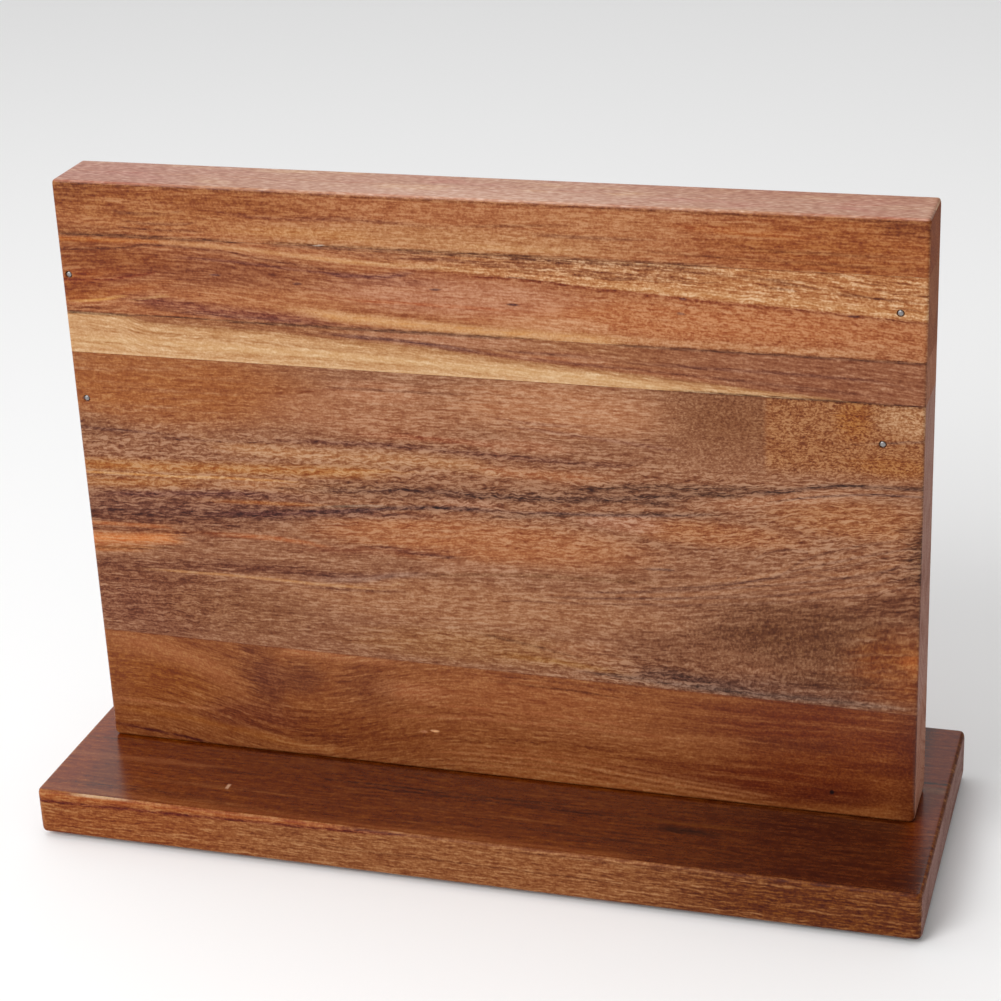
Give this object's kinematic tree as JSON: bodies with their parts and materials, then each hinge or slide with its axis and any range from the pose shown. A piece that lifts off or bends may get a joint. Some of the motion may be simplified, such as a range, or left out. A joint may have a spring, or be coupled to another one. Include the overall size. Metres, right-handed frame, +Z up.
{
  "type": "magnetic knife stand",
  "caption": "Upright board of edge-glued acacia staves on a flat base plank, with magnets buried behind both faces so that kitchen knives cling to the wood.",
  "frame": {"origin": "on the table, under the middle of the base: the middle of the bounding box's underside", "axes": "+X along the board's and the base's length, to the right when facing the front; +Y from the front face to the back; +Z up"},
  "size_m": [0.32, 0.115, 0.2355],
  "materials": {
    "acacia_base": "dark red-brown acacia under a satin clear lacquer, straight grain along the length",
    "acacia_stave_1": "red-brown acacia with a smoky swirl, satin clear lacquer",
    "acacia_stave_2": "brown acacia with dark streaks and rippled figure, satin clear lacquer",
    "acacia_stave_3": "pale yellow sapwood tapering into brown heartwood, satin clear lacquer",
    "acacia_stave_4": "orange-brown acacia with dark purple-brown streaks, satin clear lacquer",
    "acacia_stave_5": "even orange-brown acacia with fine grain, satin clear lacquer",
    "magnet_plating": "nickel plating, satin",
    "keeper_steel": "plain mild steel bar, mill finish",
    "brad_steel": "bright steel, dulled",
    "screw_steel": "yellow zinc plating",
    "dowel_beech": "plain turned beech",
    "foot_rubber": "matt black rubber"
  },
  "bodies": {
    "root": {"base_plank": "acacia_base", "front_stave_1": "acacia_stave_1", "front_stave_2": "acacia_stave_2", "front_stave_3": "acacia_stave_3", "front_stave_4": "acacia_stave_4", "front_stave_5": "acacia_stave_5", "rear_stave_1": "acacia_stave_1", "rear_stave_2": "acacia_stave_2", "rear_stave_3": "acacia_stave_3", "rear_stave_4": "acacia_stave_4", "rear_stave_5": "acacia_stave_5", "magnet_front_lower_1": "magnet_plating", "magnet_front_lower_2": "magnet_plating", "magnet_front_lower_3": "magnet_plating", "magnet_front_lower_4": "magnet_plating", "magnet_front_lower_5": "magnet_plating", "keeper_front_lower": "keeper_steel", "magnet_front_upper_1": "magnet_plating", "magnet_front_upper_2": "magnet_plating", "magnet_front_upper_3": "magnet_plating", "magnet_front_upper_4": "magnet_plating", "magnet_front_upper_5": "magnet_plating", "keeper_front_upper": "keeper_steel", "magnet_rear_lower_1": "magnet_plating", "magnet_rear_lower_2": "magnet_plating", "magnet_rear_lower_3": "magnet_plating", "magnet_rear_lower_4": "magnet_plating", "magnet_rear_lower_5": "magnet_plating", "keeper_rear_lower": "keeper_steel", "magnet_rear_upper_1": "magnet_plating", "magnet_rear_upper_2": "magnet_plating", "magnet_rear_upper_3": "magnet_plating", "magnet_rear_upper_4": "magnet_plating", "magnet_rear_upper_5": "magnet_plating", "keeper_rear_upper": "keeper_steel", "brad_upper_left": "brad_steel", "brad_lower_left": "brad_steel", "brad_upper_right": "brad_steel", "brad_lower_right": "brad_steel", "screw_left": "screw_steel", "screw_middle": "screw_steel", "screw_right": "screw_steel", "dowel_left": "dowel_beech", "dowel_right": "dowel_beech", "foot_front_left": "foot_rubber", "foot_front_right": "foot_rubber", "foot_rear_left": "foot_rubber", "foot_rear_right": "foot_rubber"}
  },
  "joints": []
}
